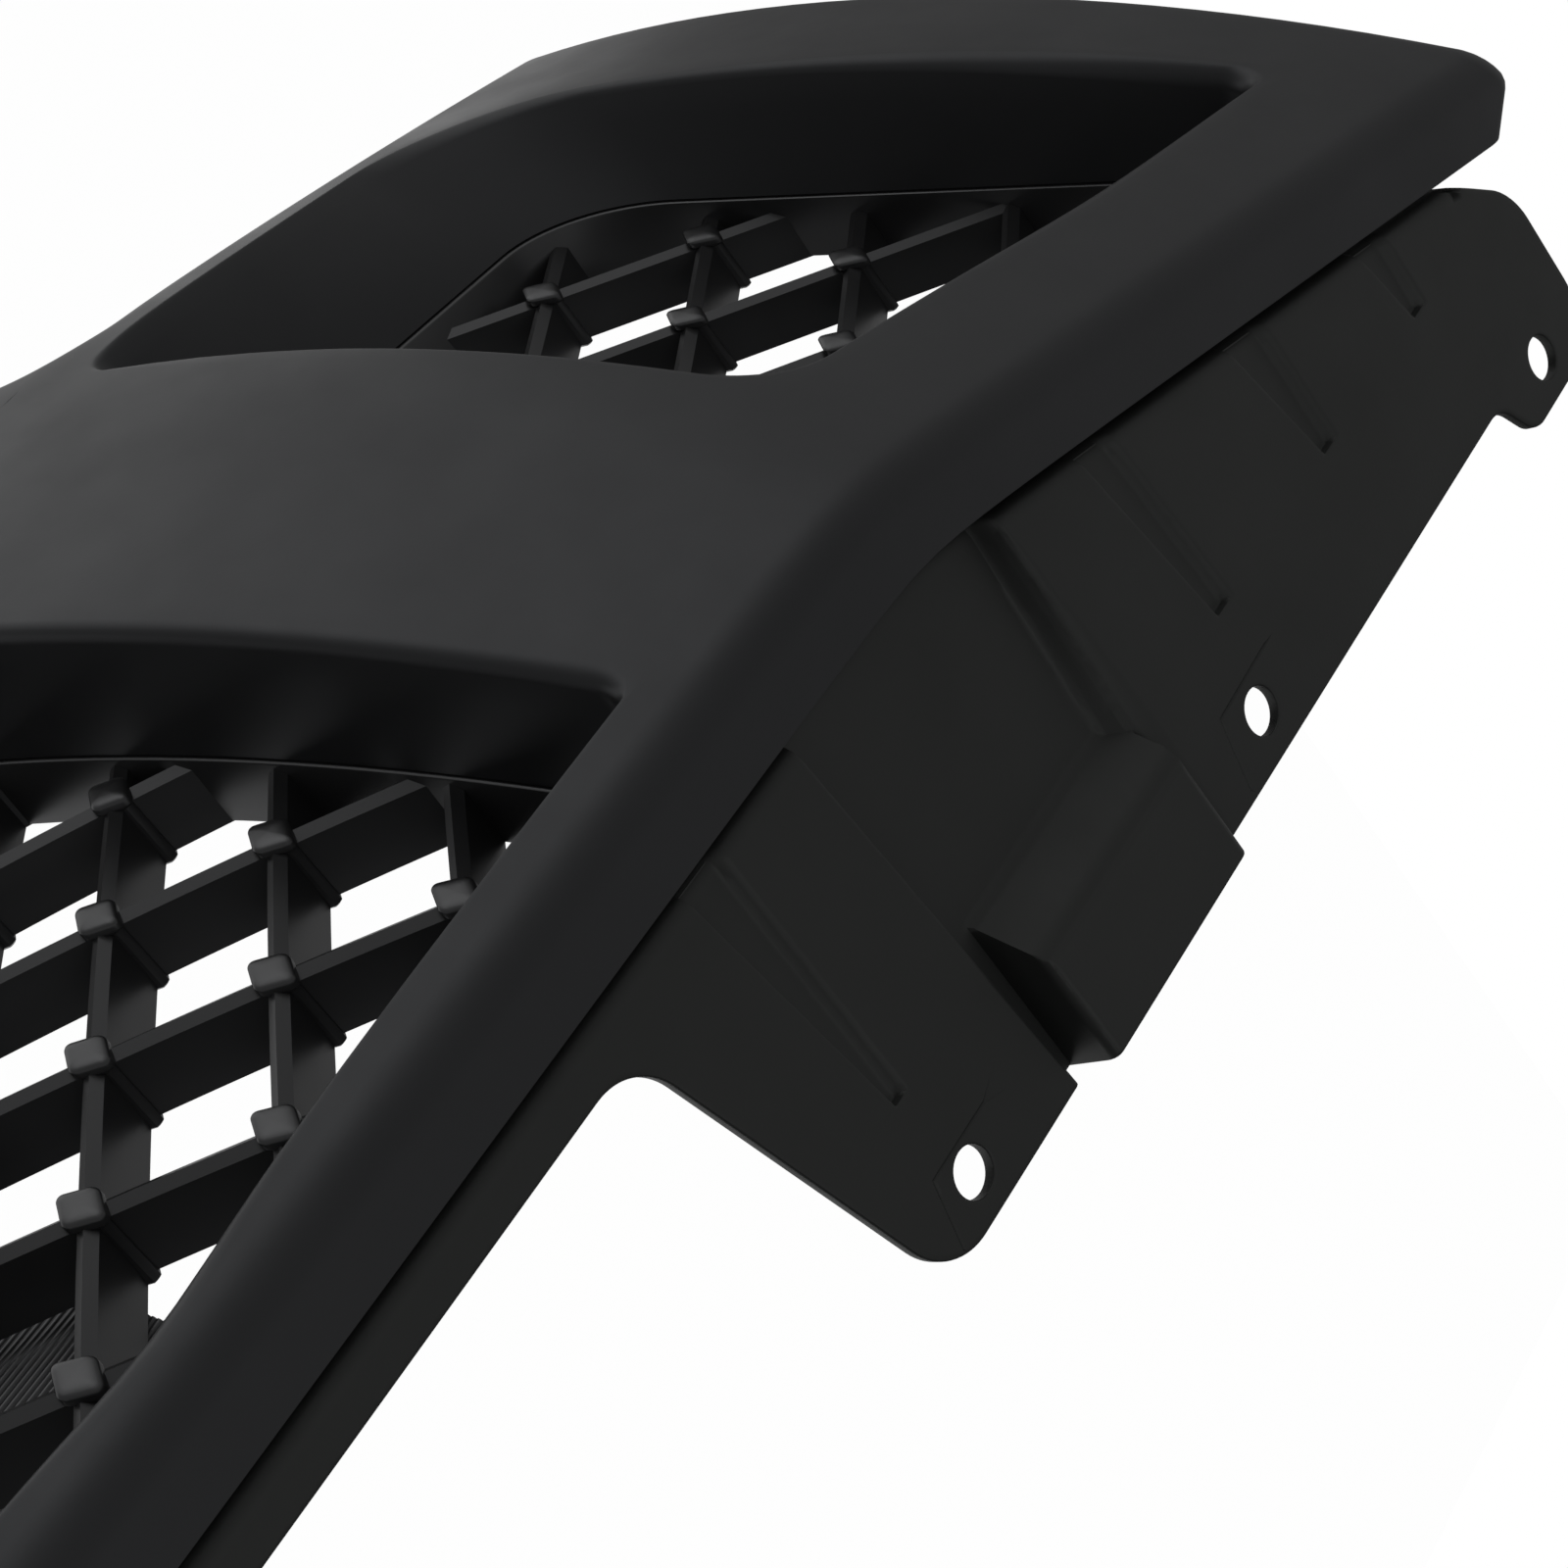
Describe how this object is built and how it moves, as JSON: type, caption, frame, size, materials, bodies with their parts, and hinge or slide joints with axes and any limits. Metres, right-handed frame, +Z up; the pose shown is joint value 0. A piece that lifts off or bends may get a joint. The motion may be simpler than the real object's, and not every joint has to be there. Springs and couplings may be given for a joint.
{
  "type": "vehicle front grille",
  "caption": "Crowned, swept vehicle grille surround with diamond-lattice inserts behind its openings and a flanged mounting panel along the top.",
  "frame": {"origin": "underside of the top mounting panel's front strip, at the middle of the grille's width", "axes": "+X to the vehicle's left, +Y towards the vehicle's rear (the grille faces -Y), +Z up"},
  "size_m": [1.0612, 0.2588, 0.3244],
  "materials": {
    "surround_plastic": "fine-grained satin black moulded plastic",
    "lattice_plastic": "satin black moulded plastic",
    "panel_plastic": "matte black moulded plastic",
    "zinc_steel": "zinc-plated screws",
    "spring_steel": "phosphated spring steel"
  },
  "bodies": {
    "root": {"surround_frame": "surround_plastic", "mesh_insert_centre": "lattice_plastic", "mesh_insert_left": "lattice_plastic", "mesh_insert_right": "lattice_plastic", "top_mounting_panel": "panel_plastic", "badge_backing_plate": "lattice_plastic", "centre_insert_screw_1": "zinc_steel", "centre_insert_screw_2": "zinc_steel", "centre_insert_screw_3": "zinc_steel", "centre_insert_screw_4": "zinc_steel", "centre_insert_screw_5": "zinc_steel", "centre_insert_screw_6": "zinc_steel", "left_insert_screw_1": "zinc_steel", "left_insert_screw_2": "zinc_steel", "left_insert_screw_3": "zinc_steel", "left_insert_screw_4": "zinc_steel", "right_insert_screw_1": "zinc_steel", "right_insert_screw_2": "zinc_steel", "right_insert_screw_3": "zinc_steel", "right_insert_screw_4": "zinc_steel", "panel_screw_1": "zinc_steel", "panel_screw_2": "zinc_steel", "panel_screw_3": "zinc_steel", "panel_screw_4": "zinc_steel", "panel_screw_5": "zinc_steel", "panel_screw_6": "zinc_steel", "panel_screw_7": "zinc_steel", "panel_screw_8": "zinc_steel", "badge_plate_screw_1": "zinc_steel", "badge_plate_screw_2": "zinc_steel", "lower_spring_clip_1": "spring_steel", "lower_spring_clip_2": "spring_steel", "lower_spring_clip_3": "spring_steel", "lower_spring_clip_4": "spring_steel"}
  },
  "joints": []
}
